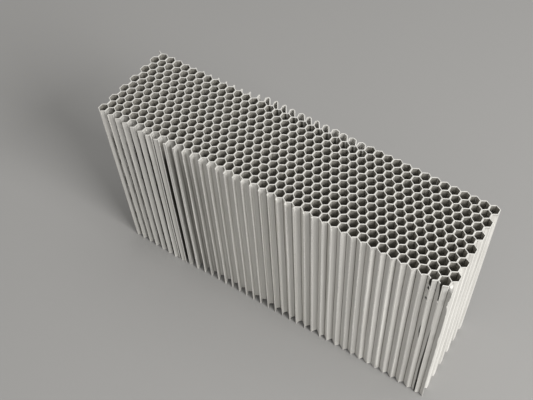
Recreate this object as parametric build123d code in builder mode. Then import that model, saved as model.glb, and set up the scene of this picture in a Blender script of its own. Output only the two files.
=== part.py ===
import os
from math import ceil, radians, tan

from build123d import *

# Aluminium honeycomb crash absorber block, in millimetres.
# Corrugated foils run along Y, stand along Z and are bonded side by side along X.
# The cells are crushed along Z. The origin is at the middle of the bottom sawn end.

# Driving dimensions
foil_count = 80         # foils in the stack, two to each cell of length
foil_thickness = 0.25   # aluminium foil
bond_line = 0.03        # adhesive film between two bonded flats
cell_across = 5.33      # one cell along X, from bond line to bond line
bonded_flat = 3.0       # flat of the corrugation that is bonded to the next foil
free_wall_rise = 1.385  # how far a slanted free wall advances along Y
block_width = 54.4      # between the two long sawn faces, where the saw ran true
saw_angle = 1.2         # the long faces lean from the rows of cells, in degrees
cell_depth = 125.0      # length of the cells, between the two sawn ends

# Turns of the long sawn faces, from left to right: X, and how far the face stands out there
near_turns = [(-75.0, 0.5), (-45.0, -0.4), (72.0, -0.8)]
far_turns = [(-45.0, 0.0), (-29.0, 2.6)]

# Saw damage along the near long face
torn_back_foils = range(2, 14, 2)  # these foils end at their last bonded flat
seam_width = 0.6                   # gap left of a ridge whose bond has opened
low_seam_top = 80.0                # the foil next to the corner is open up to here
short_seam = (66.0, 80.0)          # lowest and highest point of the seam beside it
# Outlines of two tears at the top, each as distance left of the ridge and depth below the top
corner_tear = [(0, 0), (1.5, 0), (1.9, 2.2), (1.1, 4.0), (0.8, 6.0), (0.7, 13.8), (0, 13.8)]
inner_tear = [(0, 0), (1.1, 0), (1.5, 1.5), (0.9, 3.0), (0.6, 6.2), (0, 6.2)]

# Sizes that follow
foil_pitch = cell_across / 2
row_pitch = bonded_flat + free_wall_rise
block_length = foil_count * foil_pitch
foil_inset = (bond_line + foil_thickness) / 2
saw_slope = tan(radians(saw_angle))
most_out = max(out for x, out in near_turns + far_turns)
side_reach = block_width / 2 + block_length / 2 * saw_slope + most_out
rows_each_side = ceil(side_reach / row_pitch) + 1
pair_count = ceil(foil_count / 2)
corner_foil = foil_count - 3
inner_foil = foil_count - 5


def bond_plane(number):
    """X of the plane on which foil number-1 is bonded to foil number."""
    return number * foil_pitch - block_length / 2


def stations(turns):
    """The two ends of a long face and its turns between them, each as X and how far it stands out."""
    end = block_length / 2
    return [(-end, 0), *((x, out) for x, out in turns if abs(x) < end), (end, 0)]


def stands_out(x, turns):
    """How far a long face stands out at this X."""
    places = stations(turns)
    for (x_low, out_low), (x_high, out_high) in zip(places, places[1:]):
        if x_low <= x <= x_high:
            return out_low + (out_high - out_low) * (x - x_low) / (x_high - x_low)
    return 0


def near_face(x):
    """Y of the near long face at this X."""
    return x * saw_slope - block_width / 2 - stands_out(x, near_turns)


def far_face(x):
    """Y of the far long face at this X."""
    return x * saw_slope + block_width / 2 + stands_out(x, far_turns)


def last_flat(number):
    """Y of the near end of the last bonded flat that a foil has whole."""
    row = ceil((near_face(bond_plane(number)) + bonded_flat / 2) / row_pitch)
    return row * row_pitch - bonded_flat / 2


def corrugation(number):
    """Centre line of one foil: a flat on its left plane, a free wall, a flat on its right plane."""
    points = []
    for row in range(-rows_each_side, rows_each_side + 1):
        on_left = (row + number) % 2 == 0
        x = bond_plane(number) + foil_inset if on_left else bond_plane(number + 1) - foil_inset
        points.append((x, row * row_pitch - bonded_flat / 2))
        points.append((x, row * row_pitch + bonded_flat / 2))
    return points


def sawn_outline():
    """Corners of the block from above. It runs past the short ends, which no saw has touched."""
    past = block_length / 2 + cell_across
    near_xs = [-past, *(x for x, out in stations(near_turns)), past]
    far_xs = [past, *(x for x, out in reversed(stations(far_turns))), -past]
    return [(x, near_face(x)) for x in near_xs] + [(x, far_face(x)) for x in far_xs]


def openings_beside_ridge(number):
    """Outlines of the tears and open seams of a foil, as X and Z."""
    ridge = bond_plane(number + 1)
    if number == corner_foil:
        tear, seam = corner_tear, (0, low_seam_top)
    else:
        tear, seam = inner_tear, short_seam
    low, high = seam
    return [
        [(ridge - left, cell_depth - below) for left, below in tear],
        [(ridge, low), (ridge - seam_width, low), (ridge - seam_width, high), (ridge, high)],
    ]


os.makedirs("parts", exist_ok=True)

# Foils, two bonded foils to a sub-part
for pair in range(pair_count):
    with BuildPart() as foil_pair:
        for number in range(2 * pair, min(2 * pair + 2, foil_count)):
            with BuildSketch() as section:
                with BuildLine():
                    centre = Polyline(*corrugation(number))
                    offset(
                        centre,
                        amount=foil_thickness / 2,
                        kind=Kind.INTERSECTION,
                        mode=Mode.REPLACE,
                    )
                make_face()
                Polygon(*sawn_outline(), align=None, mode=Mode.INTERSECT)
                if number in torn_back_foils:
                    with Locations((bond_plane(number), last_flat(number))):
                        Rectangle(
                            2 * cell_across,
                            2 * row_pitch,
                            align=(Align.CENTER, Align.MAX),
                            mode=Mode.SUBTRACT,
                        )
            extrude(amount=cell_depth)

            # Tears and open seams at the near end of two foils, up to the last bend
            if number in (corner_foil, inner_foil):
                last_bend = last_flat(number)
                with BuildSketch(Plane.XZ.offset(-last_bend)):
                    for outline in openings_beside_ridge(number):
                        Polygon(*outline, align=None)
                extrude(amount=row_pitch, mode=Mode.SUBTRACT)
    foil_pair.part.label = f"foil_pair_{pair + 1:02d}"
    export_step(foil_pair.part, f"parts/{foil_pair.part.label}.step")
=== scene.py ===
import math

import bpy
import numpy as np
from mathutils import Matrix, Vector


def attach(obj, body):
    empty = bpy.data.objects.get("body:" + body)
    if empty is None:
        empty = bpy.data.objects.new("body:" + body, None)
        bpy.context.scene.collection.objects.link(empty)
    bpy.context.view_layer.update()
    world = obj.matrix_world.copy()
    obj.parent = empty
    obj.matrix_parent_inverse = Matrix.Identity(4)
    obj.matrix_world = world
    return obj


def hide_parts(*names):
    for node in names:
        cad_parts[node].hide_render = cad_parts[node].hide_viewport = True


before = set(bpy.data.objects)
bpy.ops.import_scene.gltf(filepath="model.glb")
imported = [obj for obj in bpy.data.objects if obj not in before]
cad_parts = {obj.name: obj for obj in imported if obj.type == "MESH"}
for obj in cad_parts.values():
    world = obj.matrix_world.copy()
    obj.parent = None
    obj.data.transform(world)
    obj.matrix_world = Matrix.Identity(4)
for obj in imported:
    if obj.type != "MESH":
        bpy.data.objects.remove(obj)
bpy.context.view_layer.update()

# Aluminium honeycomb crash absorber block. Lengths are in millimetres, in the frame of the solids,
# until a mesh is made in metres. A foil's number counts from the left end, from 0.
MM = 0.001
rng = np.random.default_rng(41)

# Sizes of the block, as in the solids
FOILS = 80
PITCH = 2.665          # from one bond plane to the next
LENGTH = FOILS * PITCH
END = LENGTH / 2
FLAT = 3.0             # bonded flat of the corrugation
RISE = 1.385           # how far a free wall advances along Y
ROW = FLAT + RISE
ROWS = 8               # rows of flats on each side of the middle row
INSET = 0.14           # from a bond plane to the middle of a foil
HALF = 0.125           # half of the foil's thickness
DEPTH = 125.0
HALF_WIDTH = 27.2      # from the middle to a sawn face, where the saw ran true
SLOPE = math.tan(math.radians(1.2))
WALL_X, WALL_Y = PITCH - 2 * INSET, RISE

# Turns of the sawn faces, as X and how far the face stands out there
NEAR_TURNS = ([-END, -75, -45, 72, END], [0.0, 0.5, -0.4, -0.8, 0.0])
FAR_TURNS = ([-END, -45, -29, END], [0.0, 0.0, 2.6, 0.0])

# No point goes past these, so that the pieces stay in the box of the solids
LIMITS = np.array([END - 0.015, 29.42])

# Foils with damage at their near end, and the outermost row of flats that they reach
TORN_BACK = range(2, 14, 2)
CORNER_FOIL, INNER_FOIL, LAST_FOIL = 77, 75, 79
NEAR_ROW = -6


def bond_x(plane):
    """X of the plane on which foil plane-1 is bonded to foil plane."""
    return plane * PITCH - END


def near_cut(x):
    """Y of the near sawn face at this X."""
    return x * SLOPE - HALF_WIDTH - np.interp(x, *NEAR_TURNS)


def far_cut(x):
    """Y of the far sawn face at this X."""
    return x * SLOPE + HALF_WIDTH + np.interp(x, *FAR_TURNS)


# Heights at which a foil has points, from the floor to the sawn top
LIP_LOW = [0.06, 0.3, 1.1]
LIP_HIGH = [124.0, 124.68, 124.93]
PLAIN = [6, 18, 34, 52, 70, 88, 102, 112, 118.5, 122.2]
BUSY = [4, 9, 15, 22, 30, 38, 46, 52, 58, 64.5, 66.5, 70, 74, 78.5, 80.5, 86, 92, 98, 103, 105.3,
        107.4, 109.3, 109.9, 112.5, 114.6, 116.2, 117.9, 118.1, 119.8, 121.0, 122.0, 122.9]
RAGGED = list(np.arange(3.0, 104.0, 2.1)) + list(np.arange(105.0, 123.0, 1.05))


def levels_for(number):
    """The heights of a foil's points: more of them where its near end is torn."""
    if number in (CORNER_FOIL, INNER_FOIL):
        middle = BUSY
    elif number == LAST_FOIL or number in TORN_BACK:
        middle = RAGGED
    else:
        middle = PLAIN
    return np.array(LIP_LOW + middle + LIP_HIGH)


# How far each bond lies out of true, which both foils at a bond share
OUT_OF_TRUE = 0.085
JITTER = rng.normal(0, OUT_OF_TRUE, (FOILS + 1, 2 * ROWS + 1, 2))
PHASES = rng.uniform(0, 2 * np.pi, (FOILS + 1, 2 * ROWS + 1, 2, 2))
RIPPLES = [(95.0, 0.07), (38.0, 0.03)]    # up the foils, as wave length and height
END_SHARE = 0.25                          # share of the drift along X that the short ends have
# Slow waves through the stack, as height, turn for each row, turn for each plane, and start
WAVE_X = (0.10, 0.9, 0.21, 0)
WAVES_Y = [(0.12, 0, 0.17, 1.3), (0.05, 1, 0.53, 0)]

# The stack has settled along X: at all heights, more towards the floor, and slanting with Y
STRETCH = ([-97, -77, -37, 3, 43, 83, 103], [-0.2, 0.1, 0.2, -0.25, -0.65, -0.32, 0.0])
SPLAY = ([-65, -25, 0, 40, 85], [-0.6, -0.65, -0.2, 0.25, 0.55])
SPLAY_CURVE = 1.5
SHEAR, SHEAR_CHANGE = 0.0102, 0.000045    # X for each Y, and how much less of it for each X
HELD = 8                                  # the last stretch at each short end, which moves less


def settled(x, y, z):
    """How far the whole stack has settled sideways at each height, as X."""
    sheared = y * (SHEAR - SHEAR_CHANGE * x)
    splayed = (1 - z / DEPTH) ** SPLAY_CURVE * np.interp(x, *SPLAY)
    free = min(1.0, (END - abs(x)) / HELD)
    return (np.interp(x, *STRETCH) + sheared + splayed) * free


def wave(row, plane, height, by_row, by_plane, start):
    """What a slow wave through the stack adds to a bonded flat's place."""
    return height * np.sin(row * by_row + plane * by_plane + start)


def bond_place(plane, row, z):
    """How far a bonded flat lies off its true place at each height, as X and Y."""
    i, j = plane, row + ROWS
    drift = JITTER[i, j][:, None] * np.ones_like(z)
    for k, (length, height) in enumerate(RIPPLES):
        drift = drift + height * np.sin(2 * np.pi * z / length + PHASES[i, j, :, k, None])
    drift[0] += wave(row, plane, *WAVE_X)
    drift[1] += sum(wave(row, plane, *one) for one in WAVES_Y)
    if plane in (0, FOILS):
        drift[0] *= END_SHARE
    drift[0] += settled(bond_x(plane), row * ROW, z)
    return drift


# Loose loops on the far face. The right foil of a cell broke at its last bend, and the broken
# piece hangs from the tip of the left foil. Cells are counted from the corner foil's. For each one:
# where along the free wall the hanging piece ends, how far it leans, how high it starts above its
# end, and how far the left flat leans.
LOOPS = {
    -24: (0.42, 0.66, 3.9, 1.2), -23: (0.38, 0.66, 4.0, 0.9), -22: (0.50, 0.66, 4.0, 0.7),
    -21: (0.56, 0.64, 3.7, 1.0), -20: (0.86, 0.66, 3.4, 0.9), -19: (0.52, 0.66, 3.7, 0.9),
    -18: (0.50, 0.66, 3.7, 0.8), -17: (0.72, 0.62, 3.5, 0.7), -16: (0.96, 0.50, 3.1, 0.4),
    -15: (0.94, 0.54, 3.1, 0.4), -14: (0.96, 0.46, 3.1, 0.3), -13: (0.96, 0.40, 3.1, 0.2),
}
LOOP_ROW = 6
LOOP_BASE = (LOOP_ROW - 1) * ROW + FLAT / 2    # Y of the last bend before the break
FIRST_LOOP = 2 * min(LOOPS) + CORNER_FOIL - 1
BREAK_GAP = 0.42       # from a hanging piece to the wall that it broke from
CREST = 0.55           # how far a loop's tip stands above both its sides
SHOULDER = 0.2         # from the end of the left flat down to where it starts to turn


def loop_of(number):
    """The loop of the cell that this foil is a side of, if it has one."""
    return LOOPS.get((number - number % 2 + 1 - CORNER_FOIL) // 2)


def hanging_corners(number):
    """Corners of the broken piece that hangs from a left foil, from the end of its last flat."""
    ends, lean, rise, left_lean = loop_of(number)
    seam = bond_x(number + 1)
    flat_x, flat_y = seam - INSET - WALL_X - left_lean, LOOP_BASE + WALL_Y + FLAT
    end_x, end_y = seam + INSET + ends * WALL_X, LOOP_BASE + ends * WALL_Y + BREAK_GAP
    start_x, start_y = end_x - lean * rise, end_y + rise
    tip = ((flat_x + start_x) / 2, max(flat_y, start_y) + CREST)
    return [(flat_x, flat_y - SHOULDER), tip, (start_x, start_y), (end_x, end_y)]


def control_points(number, z):
    """Corners of a foil's middle line at each height: an array of corner, X or Y, height."""
    points = []
    for row in range(-ROWS, ROWS + 1):
        on_left = (row + number) % 2 == 0
        plane = number if on_left else number + 1
        side = 1 if on_left else -1
        x = bond_x(plane) + side * INSET
        drift = bond_place(plane, row, z)
        hangs = loop_of(number) and number % 2 == 0 and row == LOOP_ROW
        corners = [(x, row * ROW - FLAT / 2), (x, row * ROW + FLAT / 2)]
        if hangs:
            corners = corners[:1] + hanging_corners(number)
        elif number == FIRST_LOOP - 1 and row == LOOP_ROW:
            left_lean = loop_of(FIRST_LOOP)[3]
            corners[1] = (x - left_lean, corners[1][1])
        points += [np.array([x + drift[0], y + drift[1]]) for x, y in corners]
        if hangs:
            break
    return np.array(points)


BEND = 0.31            # how far a bend starts before its corner
BEND_STEPS = 3


def rounded(points):
    """The line with its corners rounded."""
    line = [points[0]]
    for before, corner, after in zip(points, points[1:], points[2:]):
        back = before - corner
        ahead = after - corner
        back = back / np.linalg.norm(back, axis=0)
        ahead = ahead / np.linalg.norm(ahead, axis=0)
        start, end = corner + BEND * back, corner + BEND * ahead
        for step in range(BEND_STEPS + 1):
            t = step / BEND_STEPS
            line.append((1 - t) ** 2 * start + 2 * t * (1 - t) * corner + t * t * end)
    line.append(points[-1])
    return np.array(line)


# Where a cut may fall, as a share of the way from the last point inside it to the one outside
CUT_RANGE = (0.04, 1.2)


def trimmed(line, near_y, far_y):
    """The line between the two sawn faces."""
    mid = line.shape[2] // 2
    inside = [k for k in range(len(line)) if near_y < line[k, 1, mid] < far_y]
    first, last = inside[0], inside[-1]
    if last + 1 == len(line):
        last -= 1

    def end(outer, inner, y):
        t = (y - line[inner, 1]) / (line[outer, 1] - line[inner, 1])
        return line[inner] + np.clip(t, *CUT_RANGE) * (line[outer] - line[inner])

    near_end = end(first - 1, first, near_y)
    far_end = end(last + 1, last, far_y) if line[-1, 1, mid] > far_y else line[-1]
    return np.concatenate([[near_end], line[first:last + 1], [far_end]])


PULL_REACH = 0.75      # an end as near to a bond plane as this is drawn to it
PULL_LENGTH = 0.9      # the pull fades out over this length of the foil
PULL_CURVE = 1.5
END_POINTS = 4


def closed_ends(line, number):
    """The ends of the line drawn to the bond plane where the saw cut through a bend."""
    mid = line.shape[2] // 2
    ends = [range(END_POINTS)]
    if not loop_of(number):
        ends.append(range(len(line) - 1, len(line) - 1 - END_POINTS, -1))
    for order in ends:
        x, y = line[order[0], :, mid]
        for plane, side in ((number, 1), (number + 1, -1)):
            off = bond_x(plane) + side * INSET - x
            if abs(off) < PULL_REACH:
                for k in order:
                    gone = abs(line[k, 1, mid] - y)
                    line[k, 0] += off * max(0.0, 1 - gone / PULL_LENGTH) ** PULL_CURVE
    return line


def resampled(part, share):
    """The same number of points along part, up to a share of its length at each height."""
    steps = np.linalg.norm(np.diff(part, axis=0), axis=1)
    along = np.concatenate([np.zeros((1, part.shape[2])), np.cumsum(steps, axis=0)])
    wanted = np.linspace(0, 1, len(part))[:, None] * along[-1] * share
    out = np.empty_like(part)
    for m in range(part.shape[2]):
        for axis in (0, 1):
            out[:, axis, m] = np.interp(wanted[:, m], along[:, m], part[:, axis, m])
    return out


# How much of its last free wall a torn foil keeps, as heights and shares
CORNER_KEEPS = (
    [0, 30, 52, 66, 78, 81, 109.4, 109.8, 113, 118, 120, 122, 123, 124.2, 125],
    [0.50, 0.52, 0.60, 0.72, 0.90, 1.0, 1.0, 0.76, 0.70, 0.62, 0.52, 0.36, 0.32, 0.34, 0.38],
)
INNER_KEEPS = (
    [0, 64, 66, 72, 78, 81, 117.9, 118.1, 119.8, 121.0, 122.4, 123.6, 125],
    [1.0, 1.0, 0.84, 0.62, 0.78, 1.0, 1.0, 0.42, 0.36, 0.34, 0.34, 0.40, 0.58],
)
LAST_KEEPS = (
    [0, 60, 98, 104, 107, 109, 113, 115, 118, 121, 123, 125],
    [1.0, 1.0, 0.97, 0.92, 0.84, 0.72, 0.80, 0.92, 0.84, 1.0, 0.80, 0.55],
)
TORN_SHARES, LAST_SHARES = (0.05, 1.0), (0.3, 1.0)    # least and most
TORN_ROUGHNESS, LAST_ROUGHNESS = 0.012, (-0.1, 0.06)

# The last foil's torn edge at the corner, by height: how far it has curled over, in degrees, and
# how far its burrs stand out to the left. To the right they stand out less.
LAST_CURL = ([119.5, 121.8, 123.5, 125], [0, 8, 70, 104])
LAST_BURRS = (
    [71, 73, 76, 78, 107.5, 109.5, 111, 113, 115, 120, 121.2, 122.4, 124.9],
    [0, 0.35, 0.3, 0, 0, 0.5, 0.15, 0.55, 0, 0, 0.35, 0.05, 0.2],
)
RIGHT_BURRS = 0.6

# Holes in the last free wall of the inner torn foil, a pinhole and the foot of the tear, which
# leans away from the edge. For each: lowest height, highest height, and the height up to which
# its sides are drawn apart.
HOLES = [(105.0, 108.0, 108.0), (114.5, 118.5, 118.0)]
OPEN_OUT, OPEN_IN = 0.65, 0.5    # how far each side is drawn to the next point of the line

# The foils that are torn back end just past their last bend, with an uneven edge
TORN_END = NEAR_ROW * ROW - FLAT / 2 - 0.29
TORN_EDGE = (-0.25, 0.15)            # least and most, on top of a slow wave up the edge
TORN_WAVE, TORN_TURN = 0.15, 0.35    # the wave's height, and its turn for each millimetre
TORN_LEAN = 0.15                     # how far the edge bends aside for each millimetre

# Y where the last bend of the foils beside the corner starts
CORNER_BEND = (NEAR_ROW + 1) * ROW - FLAT / 2 - 0.175


def bend_index(line):
    """The first point of the last bend at the near end of a foil beside the corner."""
    return int(np.sum(line[:, 1, line.shape[2] // 2] < CORNER_BEND))


def shortened(line, turn, share):
    """The line with what lies before its last bend cut down to a share at each height."""
    wall = line[:turn + 1][::-1]
    return np.concatenate([resampled(wall, share)[::-1], line[turn + 1:]])


def drawn_apart(line, z):
    """The line with the points beside its holes drawn apart, so that the holes are wide enough."""
    for lowest, _, apart_to in HOLES:
        hole = slice(*np.searchsorted(z, [lowest, apart_to]))
        line[1, :, hole] += OPEN_OUT * (line[0] - line[1])[:, hole]
        line[2, :, hole] += OPEN_IN * (line[3] - line[2])[:, hole]
    return line


def curled(line, turn, z):
    """The line with what lies before its last bend turned about that bend at each height."""
    curl = np.radians(np.interp(z, *LAST_CURL))
    arm = line[:turn] - line[turn]
    line[:turn, 0] = line[turn, 0] + np.cos(curl) * arm[:, 0] - np.sin(curl) * arm[:, 1]
    line[:turn, 1] = line[turn, 1] + np.sin(curl) * arm[:, 0] + np.cos(curl) * arm[:, 1]
    return line


def torn_back(line, number, z):
    """The line cut off at the last flat that it has whole."""
    line = line[line[:, 1, 0] > TORN_END]
    ragged = rng.uniform(*TORN_EDGE, len(z)) + TORN_WAVE * np.sin(z * TORN_TURN + number)
    line[0, 1] -= ragged
    line[0, 0] += TORN_LEAN * ragged
    return line


def damaged(line, number, z):
    """Tears, seams and ragged edges at the near end of a foil."""
    if number in TORN_BACK:
        return torn_back(line, number, z)
    if number in (CORNER_FOIL, INNER_FOIL):
        keeps = CORNER_KEEPS if number == CORNER_FOIL else INNER_KEEPS
        share = np.interp(z, *keeps) + rng.normal(0, TORN_ROUGHNESS, len(z))
        line = shortened(line, bend_index(line), np.clip(share, *TORN_SHARES))
        return drawn_apart(line, z) if number == INNER_FOIL else line
    if number == LAST_FOIL:
        share = np.interp(z, *LAST_KEEPS) + rng.uniform(*LAST_ROUGHNESS, len(z))
        turn = bend_index(line)
        line = shortened(line, turn, np.clip(share, *LAST_SHARES))
        return curled(line, turn, z)
    return line


# Where a foil ends: how far off the two sawn faces it is cut, and how much it keeps of its
# outermost near flat at least
NEAR_ERROR, FAR_ERROR = (-0.08, 0.12), (0.0, 0.15)
NEAR_FLAT_END = NEAR_ROW * ROW + FLAT / 2
NEAR_FLAT_LEFT = 0.2
FAR_MARGIN = 0.02
# How much is left of the flat in the loops' row, on a broken foil and on the one left of them all
BROKEN_FLAT, LEANING_FLAT = 0.6, FLAT - 0.3


def foil_line(number):
    """Middle line of a foil at each height: an array of point, X or Y, height."""
    z = levels_for(number)
    x_mid = bond_x(number + 0.5)
    near_y = min(near_cut(x_mid) + rng.uniform(*NEAR_ERROR), NEAR_FLAT_END - NEAR_FLAT_LEFT)
    far_y = min(far_cut(x_mid) - rng.uniform(*FAR_ERROR), LIMITS[1] - FAR_MARGIN)
    if loop_of(number):
        far_y = LIMITS[1] if number % 2 == 0 else LOOP_BASE + WALL_Y + BROKEN_FLAT
    elif number == FIRST_LOOP - 1:
        far_y = LOOP_BASE + WALL_Y + LEANING_FLAT
    line = trimmed(rounded(control_points(number, z)), near_y, far_y)
    return damaged(closed_ends(line, number), number, z)


# A map of the block from above, to find how far the open air reaches in from its sides
CELL = 0.2
GRID_X = np.arange(-112.0, 112.0, CELL)
GRID_Y = np.arange(-33.0, 33.0, CELL)
STEPS = 55             # how many cells of the map the air goes in
WALL_STEP = 0.05       # from point to point where a wall is drawn
AIR_GAP = 0.2          # from the block to where the open air starts


def grid_place(x, y):
    """Where in the map these places are."""
    i = np.round((x - GRID_X[0]) / CELL).astype(int)
    j = np.round((y - GRID_Y[0]) / CELL).astype(int)
    return i, j


def drawn_walls(lines):
    """The map with the foils as walls, at their middle height."""
    wall = np.zeros((len(GRID_X), len(GRID_Y)), bool)
    for line in lines:
        path = line[:, :, line.shape[2] // 2]
        for a, b in zip(path, path[1:]):
            count = max(2, int(np.linalg.norm(b - a) / WALL_STEP))
            t = np.linspace(0, 1, count)[:, None]
            i, j = grid_place(*(a + t * (b - a)).T)
            for across, along in ((0, 0), (-1, 0), (1, 0), (0, -1), (0, 1)):
                wall[i + across, j + along] = True
    return wall


def spread(area, free, corners):
    """The area grown by one cell, over its corners too or only over its sides."""
    wide = area.copy()
    wide[1:] |= area[:-1]
    wide[:-1] |= area[1:]
    source = wide.copy() if corners else area
    wide[:, 1:] |= source[:, :-1]
    wide[:, :-1] |= source[:, 1:]
    return wide & free


def reach_map(wall):
    """How many millimetres the air has come from outside. Closed cells get the most."""
    # First everything beyond the sawn faces and the short ends, then step by step inwards
    free = ~wall
    x, y = GRID_X[:, None], GRID_Y[None, :]
    outside = (y < near_cut(x) - AIR_GAP) | (y > far_cut(x) + AIR_GAP) | (np.abs(x) > END + AIR_GAP)
    reached = outside & free
    far = np.where(reached, 0.0, STEPS * CELL)
    for k in range(1, STEPS):
        wider = spread(reached, free, k % 2 == 0)
        far[wider & ~reached] = k * CELL
        reached |= wider

    # A wall, which is three cells thick, takes the value of the air beside it
    far[wall] = np.inf
    for _ in range(3):
        beside = far.copy()
        beside[1:-1, 1:-1] = np.minimum.reduce([
            far[:-2, 1:-1], far[2:, 1:-1], far[1:-1, :-2], far[1:-1, 2:],
        ])
        far = np.where(np.isinf(far), beside, far)
    return np.where(np.isinf(far), STEPS * CELL, far)


def looked_up(air, places):
    """The value of the map at these places, each an X and a Y."""
    i, j = grid_place(*places.T)
    return air[np.clip(i, 0, len(GRID_X) - 1), np.clip(j, 0, len(GRID_Y) - 1)]


# Burrs of the saw, as how far they stand off the foil. Along the top and bottom edges they are wide
# towards the cell on a bonded flat, and nearly none towards the neighbour. On a free wall they
# differ with the way it slants.
FLUSH, CELL_LIP = 0.013, 0.14
LEFT_LIPS, RIGHT_LIPS = (0.10, 0.05), (0.15, 0.07)    # where the wall slants right, and left
LIP_SHAPE = ([0, *LIP_LOW[1:], *LIP_HIGH], [1, 0.75, 0, 0, 0.7, 1])
LIP_SPREAD = (0.65, 1.35)
TIP_LIP = 0.09                  # along the upright sawn edges
TIP_SWELL = (0.04, 0.16)
ON_PLANE, ON_FLAT = 0.45, 0.5   # most distance from a bond plane, and most slant, of a flat's points
TOP_SAG = (0, 0.05)             # how far the sawn top is worn down

# The bottom edge behind the near sawn face is bent up, from one distance behind it to another
LIFT = (1.9, 3.1)
LIFT_FROM, LIFT_TO, LIFT_EDGE = 1.2, 5.5, 1.0
LIFT_HEIGHT = 5                 # the foil is pressed together up to here


def directions(line):
    """Unit vectors along the line, and to its left as it runs towards +Y."""
    tangent = np.gradient(line, axis=0)
    tangent /= np.maximum(np.linalg.norm(tangent, axis=1, keepdims=True), 1e-9)
    return tangent, np.stack([-tangent[:, 1], tangent[:, 0]], axis=1)


def side_offsets(number, line, tangent, z):
    """How far a foil's left and right sides stand off its middle line, with the burrs."""
    mid = len(z) // 2
    slant = tangent[:, 0, mid]
    flat_left, flat_right = [
        (np.abs(line[:, 0, mid] - bond_x(plane)) < ON_PLANE) & (np.abs(slant) < ON_FLAT)
        for plane in (number, number + 1)
    ]
    bumps = rng.uniform(*LIP_SPREAD, (2, len(line)))
    bumps = (bumps + np.roll(bumps, 1, 1)) / 2
    is_tip = np.zeros(len(line))
    is_tip[[0, -1]] = 1

    offsets = []
    sides = [(flat_left, flat_right, LEFT_LIPS), (flat_right, flat_left, RIGHT_LIPS)]
    for (bonded, bonded_across, wall_lips), bump in zip(sides, bumps):
        to_cell = np.where(bonded_across, CELL_LIP, np.where(slant > 0, *wall_lips))
        lip = np.where(bonded, FLUSH, to_cell * bump)
        tip = np.where(bonded, FLUSH, TIP_LIP) * is_tip
        offsets.append(HALF + np.maximum(lip[:, None] * np.interp(z, *LIP_SHAPE), tip[:, None]))
    if number == LAST_FOIL:
        burrs = np.interp(z, *LAST_BURRS)
        offsets[0][0] += burrs
        offsets[1][0] += RIGHT_BURRS * burrs
    return offsets


def lifted(y):
    """How far the bottom edge of a foil is bent up along the walls behind the near sawn face."""
    behind = y - y[0]
    starts = np.clip((behind - LIFT_FROM) / LIFT_EDGE, 0, 1)
    return rng.uniform(*LIFT) * starts * np.clip((LIFT_TO - behind) / LIFT_EDGE, 0, 1)


def ring_points(line, normal, offsets, z):
    """Points round the foil at each point of its line: up the left side, over the top, down the
    right side and along the bottom."""
    def at(place, height):
        return np.stack([place[:, 0], place[:, 1], height], axis=-1)

    left_off, right_off = offsets
    left = line + normal * left_off[:, None, :]
    right = line - normal * right_off[:, None, :]
    lift = lifted(line[:, 1, len(z) // 2])
    heights = z + lift[:, None] * np.clip(1 - z / LIFT_HEIGHT, 0, 1)
    sag = rng.uniform(*TOP_SAG, len(line))
    ring = np.concatenate([
        at(left, heights),
        at(line[:, :, -1], DEPTH - sag)[:, None],
        at(right, heights)[:, ::-1],
        at(line[:, :, 0], lift)[:, None],
    ], axis=1)
    ring[..., :2] = np.clip(ring[..., :2], -LIMITS, LIMITS)
    return ring


# How far inside a cell each side of a foil looks, which its material turns into painted shade. The
# open air and open recesses have less than CLOSED, and closed cells have more.
LOOK = 0.5                      # from the foil to where the map is read
CLOSED, MOST_OPEN = 8.0, 7.9
# Deepens the painted shade of the recesses on the right short end
SHORT_END_GLOOM = 1.65          # on the right short end, where every other flat stands back
LOOP_OPEN = 0.4                 # how far past their last bend the loops lie in the open
# Painted shade near the floor inside closed cells, added to their depth by height
PAINTED_FLOOR_SHADE = ([1, 9], [9.0, 0.0])   # by height: what closed cells get on top near the floor
# Painted shade: what open recesses are multiplied by, first by height and then by foil
PLAIN_GLOOM = ([96, 122], [1.15, 0.9])
MIDDLE_GLOOM = ([22, 32, 44, 56], [1, 0.7, 0.7, 1])
# The same where the foils are torn back, with more painted shade, because less light comes in
# between their stubs
STUB_Y = -18                    # on the near side of this Y
STUBS_BESIDE = 5                # and on this many foils past the last stub
STUB_HEIGHTS = [101, 116]       # deep below the first, and shallow above the second
STUB_DEEP, BESIDE_DEEP = 2.6, 1.4
STUB_SHALLOW, SHALLOWER = 0.84, 0.018    # on the first foil, and how much less on each next one


def gloom_for(number, y, z):
    """What open recess depths are multiplied by for painted shade, at each point and height."""
    last_torn = max(TORN_BACK)
    at_stubs = (0 < number <= last_torn + STUBS_BESIDE) & (y < STUB_Y)
    deep = STUB_DEEP if number <= last_torn + 1 else BESIDE_DEEP
    stubs = np.interp(z, STUB_HEIGHTS, [deep, STUB_SHALLOW - SHALLOWER * number])
    plain = np.interp(z, *PLAIN_GLOOM) * np.interp(number, *MIDDLE_GLOOM)
    return np.where(at_stubs[:, None], stubs, plain)


def ring_depths(number, line, normal, air, z):
    """How far inside each point of the ring looks, which sets its painted shade."""
    mid = len(z) // 2
    place, aside = line[:, :, mid], LOOK * normal[:, :, mid]
    far_left = looked_up(air, place + aside)
    far_right = looked_up(air, place - aside)
    if number == LAST_FOIL:
        far_right *= SHORT_END_GLOOM
    if loop_of(number):
        far_right[place[:, 1] > LOOP_BASE + LOOP_OPEN] = 0

    gloom = gloom_for(number, place[:, 1], z)
    left, right = [
        np.where(far < CLOSED, np.minimum(far * gloom, MOST_OPEN), far + np.interp(z, *PAINTED_FLOOR_SHADE))
        for far in (far_left[:, None], far_right[:, None])
    ]
    return np.concatenate([left, left[:, -1:], right[:, ::-1], right[:, :1]], axis=1)


# Material numbers
FOIL_SIDE, SAWN_EDGE = 0, 1


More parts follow.
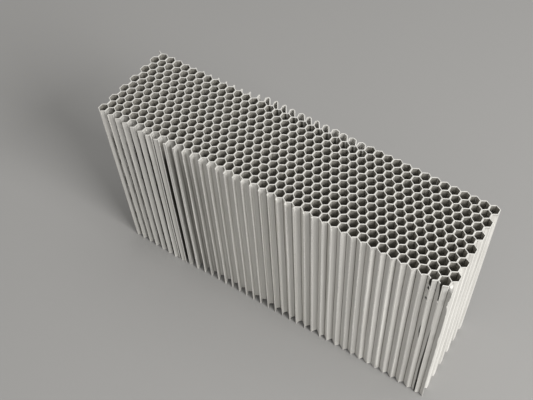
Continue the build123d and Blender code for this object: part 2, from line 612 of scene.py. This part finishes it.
def wall_faces(count, levels):
    """Faces between the rings of a foil, and their material numbers."""
    around = 2 * levels + 2
    ring = np.arange(count - 1)[:, None] * around
    here = np.arange(around)[None, :]
    after = (here + 1) % around
    corners = [ring + here, ring + around + here, ring + around + after, ring + after]
    faces = np.stack(corners, axis=2).reshape(-1, 4)
    numbers = np.full(around, FOIL_SIDE)
    numbers[levels - 2:levels + 2] = SAWN_EDGE
    numbers[[0, -1, -2, -3]] = SAWN_EDGE
    return faces.tolist(), np.tile(numbers, count - 1).tolist()


def cut_holes(faces, numbers, z):
    """The faces with the holes cut through the second stretch of the foil, and rims round them."""
    levels = len(z)
    around = 2 * levels + 2
    gone = set()
    for lowest, highest, _ in HOLES:
        low, top = [int(k) for k in np.searchsorted(z, [lowest, highest])]
        top -= 1
        rim = [(1, m) for m in range(low, top + 1)] + [(2, m) for m in range(top, low - 1, -1)]
        left = [k * around + m for k, m in rim]
        right = [k * around + 2 * levels - m for k, m in rim]
        for m in range(low, top):
            gone |= {around + m, around + 2 * levels - 1 - m}
        for a in range(len(rim)):
            b = (a + 1) % len(rim)
            faces.append([left[b], left[a], right[a], right[b]])
            numbers.append(SAWN_EDGE)
    kept = [i for i in range(len(faces)) if i not in gone]
    return [faces[i] for i in kept], [numbers[i] for i in kept]


def end_faces(base, ridge, levels):
    """Faces that close the near end of a foil, over a ridge of points between its two sides. They
    are turned round for the far end."""
    left = [base + m for m in range(levels)]
    right = [base + 2 * levels - m for m in range(levels)]
    middle = [ridge + m for m in range(levels)]
    top, bottom = base + levels, base + 2 * levels + 1
    faces = []
    for m in range(levels - 1):
        faces.append([left[m], left[m + 1], middle[m + 1], middle[m]])
        faces.append([middle[m], middle[m + 1], right[m + 1], right[m]])
    faces.append([left[-1], top, middle[-1]])
    faces.append([middle[-1], top, right[-1]])
    faces.append([left[0], middle[0], bottom])
    faces.append([middle[0], right[0], bottom])
    return faces


def foil_mesh(number, line, air):
    """Points, faces, material numbers and how far inside each point looks, of one foil."""
    z = levels_for(number)
    count, levels = len(line), len(z)
    tangent, normal = directions(line)
    ring = ring_points(line, normal, side_offsets(number, line, tangent, z), z)
    faces, numbers = wall_faces(count, levels)
    if number == INNER_FOIL:
        faces, numbers = cut_holes(faces, numbers, z)
    points = [ring.reshape(-1, 3)]
    depths = [ring_depths(number, line, normal, air, z).reshape(-1)]

    # Both ends swell a little, where the saw has left them ragged
    for end, outwards in ((0, -1), (count - 1, 1)):
        swollen = line[end] + outwards * tangent[end] * rng.uniform(*TIP_SWELL, levels)
        swollen = np.clip(swollen, -LIMITS[:, None], LIMITS[:, None])
        closing = end_faces(end * ring.shape[1], sum(len(p) for p in points), levels)
        points.append(np.stack([*swollen, z], axis=1))
        depths.append(np.zeros(levels))
        faces += closing if end == 0 else [face[::-1] for face in closing]
        numbers += [SAWN_EDGE] * len(closing)
    return np.concatenate(points), faces, numbers, np.concatenate(depths)


SHARP_ANGLE = 38       # faces that meet at more than this, in degrees, have a sharp edge


def new_mesh(name, foils):
    """One mesh, in metres, of the foils as foil_mesh gives them."""
    faces, numbers, base = [], [], 0
    for points, its_faces, its_numbers, _ in foils:
        faces += [[i + base for i in face] for face in its_faces]
        numbers += its_numbers
        base += len(points)
    mesh = bpy.data.meshes.new(name)
    mesh.from_pydata((np.concatenate([foil[0] for foil in foils]) * MM).tolist(), [], faces)
    mesh.polygons.foreach_set("material_index", numbers)
    # How far inside each point looks, which the foil material turns into painted shade
    depth = mesh.attributes.new("inside", "FLOAT", "POINT")
    depth.data.foreach_set("value", np.concatenate([foil[3] for foil in foils]).astype(np.float32))
    mesh.shade_smooth()
    mesh.set_sharp_from_angle(angle=math.radians(SHARP_ANGLE))
    mesh.update()
    return mesh


# Colours, each as a dark and a light one that streaks or speckles run between
OPEN_FOIL = ((0.64, 0.63, 0.60), (0.77, 0.76, 0.735))
# Painted shade for the foil inside closed cells, which is the same foil as outside
PAINTED_CELL_SHADE = ((0.39, 0.377, 0.342), (0.53, 0.515, 0.475))
# Painted shade for open recesses, and for closed cells near the floor
PAINTED_RECESS_SHADE = ((0.075, 0.07, 0.058), (0.13, 0.125, 0.105))
SAWN = ((0.60, 0.59, 0.56), (0.80, 0.79, 0.765))
FLOOR_COLOUR = (0.31, 0.308, 0.305)

# Depths over which the painted shade changes: from open foil to recess shade, from there to the
# lighter shade of closed cells, and near the floor to recess shade again
RECESS_DEPTHS, CELL_DEPTHS, FLOOR_DEPTHS = (2.8, 4.6), (8.0, 10.5), (12.0, 17.0)

# Sockets of a colour mix node, which share their names with sockets of its other kinds
MIX_FACTOR, MIX_FIRST, MIX_SECOND, MIX_RESULT = 0, 6, 7, 2
BUMP_HEIGHT = 0.0001   # metres


def new_material(name):
    """A material, its node tree and its shader."""
    material = bpy.data.materials.new(name)
    material.use_nodes = True
    return material, material.node_tree, material.node_tree.nodes["Principled BSDF"]


def stretched_noise(tree, scale, detail):
    """Noise on the object's own coordinates, longer along an axis with a smaller scale."""
    coords = tree.nodes.new("ShaderNodeTexCoord")
    mapping = tree.nodes.new("ShaderNodeMapping")
    mapping.inputs["Scale"].default_value = scale
    noise = tree.nodes.new("ShaderNodeTexNoise")
    noise.inputs["Scale"].default_value = 1.0
    noise.inputs["Detail"].default_value = detail
    noise.inputs["Roughness"].default_value = 0.55
    tree.links.new(coords.outputs["Object"], mapping.inputs["Vector"])
    tree.links.new(mapping.outputs["Vector"], noise.inputs["Vector"])
    return noise.outputs["Fac"]


def ramp(tree, source, colours, places=(0.3, 0.7)):
    """The colour between two colours that follows the source."""
    node = tree.nodes.new("ShaderNodeValToRGB")
    for element, place, colour in zip(node.color_ramp.elements, places, colours):
        element.position = place
        element.color = (*colour, 1)
    tree.links.new(source, node.inputs["Fac"])
    return node.outputs["Color"]


def span(tree, source, low_high, to_low_high):
    """The value that runs from one range to another as the source does."""
    node = tree.nodes.new("ShaderNodeMapRange")
    names = ("From Min", "From Max", "To Min", "To Max")
    for name, value in zip(names, (*low_high, *to_low_high)):
        node.inputs[name].default_value = value
    tree.links.new(source, node.inputs["Value"])
    return node.outputs["Result"]


def mixed(tree, factor, first, second):
    """A mix of two colours."""
    node = tree.nodes.new("ShaderNodeMix")
    node.data_type = "RGBA"
    tree.links.new(factor, node.inputs[MIX_FACTOR])
    tree.links.new(first, node.inputs[MIX_FIRST])
    tree.links.new(second, node.inputs[MIX_SECOND])
    return node.outputs[MIX_RESULT]


def bumped(tree, source, shader, strength):
    """Gives the shader a bump that follows the source."""
    bump = tree.nodes.new("ShaderNodeBump")
    bump.inputs["Strength"].default_value = strength
    bump.inputs["Distance"].default_value = BUMP_HEIGHT
    tree.links.new(source, bump.inputs["Height"])
    tree.links.new(bump.outputs["Normal"], shader.inputs["Normal"])


def foil_material():
    """Rolled foil with upright streaks, and painted shade the further inside a cell it looks."""
    material, tree, shader = new_material("aluminium_foil")
    shader.inputs["Metallic"].default_value = 0.55
    streaks = stretched_noise(tree, (900, 900, 9), 4)
    inside = tree.nodes.new("ShaderNodeAttribute")
    inside.attribute_name = "inside"
    depth = inside.outputs["Fac"]

    recess = ramp(tree, streaks, PAINTED_RECESS_SHADE)
    colour = ramp(tree, streaks, OPEN_FOIL)
    colour = mixed(tree, span(tree, depth, RECESS_DEPTHS, (0, 1)), colour, recess)
    inner = ramp(tree, streaks, PAINTED_CELL_SHADE)
    colour = mixed(tree, span(tree, depth, CELL_DEPTHS, (0, 1)), colour, inner)
    colour = mixed(tree, span(tree, depth, FLOOR_DEPTHS, (0, 1)), colour, recess)
    tree.links.new(colour, shader.inputs["Base Color"])
    rough = span(tree, streaks, (0.25, 0.75), (0.48, 0.60))
    tree.links.new(rough, shader.inputs["Roughness"])

    # The foil is rolled along its strip, so gloss spreads up and down, across the rolling marks
    strip = tree.nodes.new("ShaderNodeTangent")
    strip.direction_type = "RADIAL"
    strip.axis = "Z"
    tree.links.new(strip.outputs["Tangent"], shader.inputs["Tangent"])
    one_way = span(tree, depth, CELL_DEPTHS, (0.8, 0.2))
    tree.links.new(one_way, shader.inputs["Anisotropic"])
    shader.inputs["Anisotropic Rotation"].default_value = 0.25
    bumped(tree, stretched_noise(tree, (2600, 2600, 60), 2), shader, 0.25)
    return material


def edge_material():
    """Bare metal with the speckle of a saw cut."""
    material, tree, shader = new_material("aluminium_sawn_edge")
    shader.inputs["Metallic"].default_value = 0.35
    speckle = stretched_noise(tree, (1400, 1400, 1400), 3)
    tree.links.new(ramp(tree, speckle, SAWN, (0.3, 0.65)), shader.inputs["Base Color"])
    rough = span(tree, speckle, (0.25, 0.75), (0.45, 0.62))
    tree.links.new(rough, shader.inputs["Roughness"])
    bumped(tree, speckle, shader, 0.5)
    return material


def floor_material():
    """Plain pale floor with hardly any gloss."""
    material, _, shader = new_material("pale_floor")
    shader.inputs["Base Color"].default_value = (*FLOOR_COLOUR, 1)
    shader.inputs["Roughness"].default_value = 0.9
    shader.inputs["Specular IOR Level"].default_value = 0.2
    return material


# The block: one piece for each node, of two bonded foils
foil_look = foil_material()
edge_look = edge_material()
lines = [foil_line(number) for number in range(FOILS)]
air = reach_map(drawn_walls(lines))

for pair in range(FOILS // 2):
    name = f"foils_{pair + 1:02d}"
    mesh = new_mesh(name, [foil_mesh(n, lines[n], air) for n in (2 * pair, 2 * pair + 1)])
    mesh.materials.append(foil_look)
    mesh.materials.append(edge_look)
    piece = bpy.data.objects.new(name, mesh)
    bpy.context.scene.collection.objects.link(piece)
    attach(piece, "root")
    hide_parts(f"foil_pair_{pair + 1:02d}")

# Floor, in metres
FLOOR_REACH = 6.0
floor_corners = [(FLOOR_REACH * x, FLOOR_REACH * y, 0) for x, y in ((-1, -1), (1, -1), (1, 1), (-1, 1))]
floor_mesh = bpy.data.meshes.new("floor")
floor_mesh.from_pydata(floor_corners, [], [(0, 1, 2, 3)])
floor_mesh.materials.append(floor_material())
floor = bpy.data.objects.new("floor", floor_mesh)
bpy.context.scene.collection.objects.link(floor)


# Light, in metres and watts
def area_light(name, place, target, side, power, colour=(1, 1, 1)):
    """A square light at a place, turned to a target."""
    data = bpy.data.lights.new(name, "AREA")
    data.shape = "SQUARE"
    data.size = side
    data.energy = power
    data.color = colour
    lamp = bpy.data.objects.new(name, data)
    lamp.location = place
    lamp.rotation_mode = "QUATERNION"
    lamp.rotation_quaternion = (Vector(target) - Vector(place)).to_track_quat("-Z", "Y")
    bpy.context.scene.collection.objects.link(lamp)


area_light("key", (1.25, -0.24, 0.95), (0, 0, 0.06), side=0.7, power=25.5, colour=(1.0, 0.985, 0.96))
area_light("top", (0.2, 0.3, 1.7), (0, 0, 0.1), side=1.2, power=6)

world = bpy.data.worlds.new("studio")
world.use_nodes = True
sky = world.node_tree.nodes["Background"]
sky.inputs["Color"].default_value = (1.0, 0.985, 0.95, 1)
sky.inputs["Strength"].default_value = 0.46
bpy.context.scene.world = world

# Camera at the photograph's place: metres, degrees, and pixels of the photograph
IMAGE_WIDTH = 533
SENSOR_WIDTH = 36.0
CAMERA_PLACE = (0.14293, -0.204063, 0.440796)
CAMERA_TURN = (39.4221, 0.9328, 33.2784)
FOCAL_PIXELS = 774.43
SHIFT_X_PIXELS, SHIFT_Y_PIXELS = -25.69, -60.05

camera_data = bpy.data.cameras.new("camera")
camera_data.sensor_width = SENSOR_WIDTH
camera_data.lens = SENSOR_WIDTH * FOCAL_PIXELS / IMAGE_WIDTH
camera_data.shift_x = SHIFT_X_PIXELS / IMAGE_WIDTH
camera_data.shift_y = SHIFT_Y_PIXELS / IMAGE_WIDTH
camera = bpy.data.objects.new("camera", camera_data)
camera.location = CAMERA_PLACE
camera.rotation_euler = [math.radians(turn) for turn in CAMERA_TURN]
bpy.context.scene.collection.objects.link(camera)
bpy.context.scene.camera = camera

bpy.context.scene.view_settings.view_transform = "Standard"
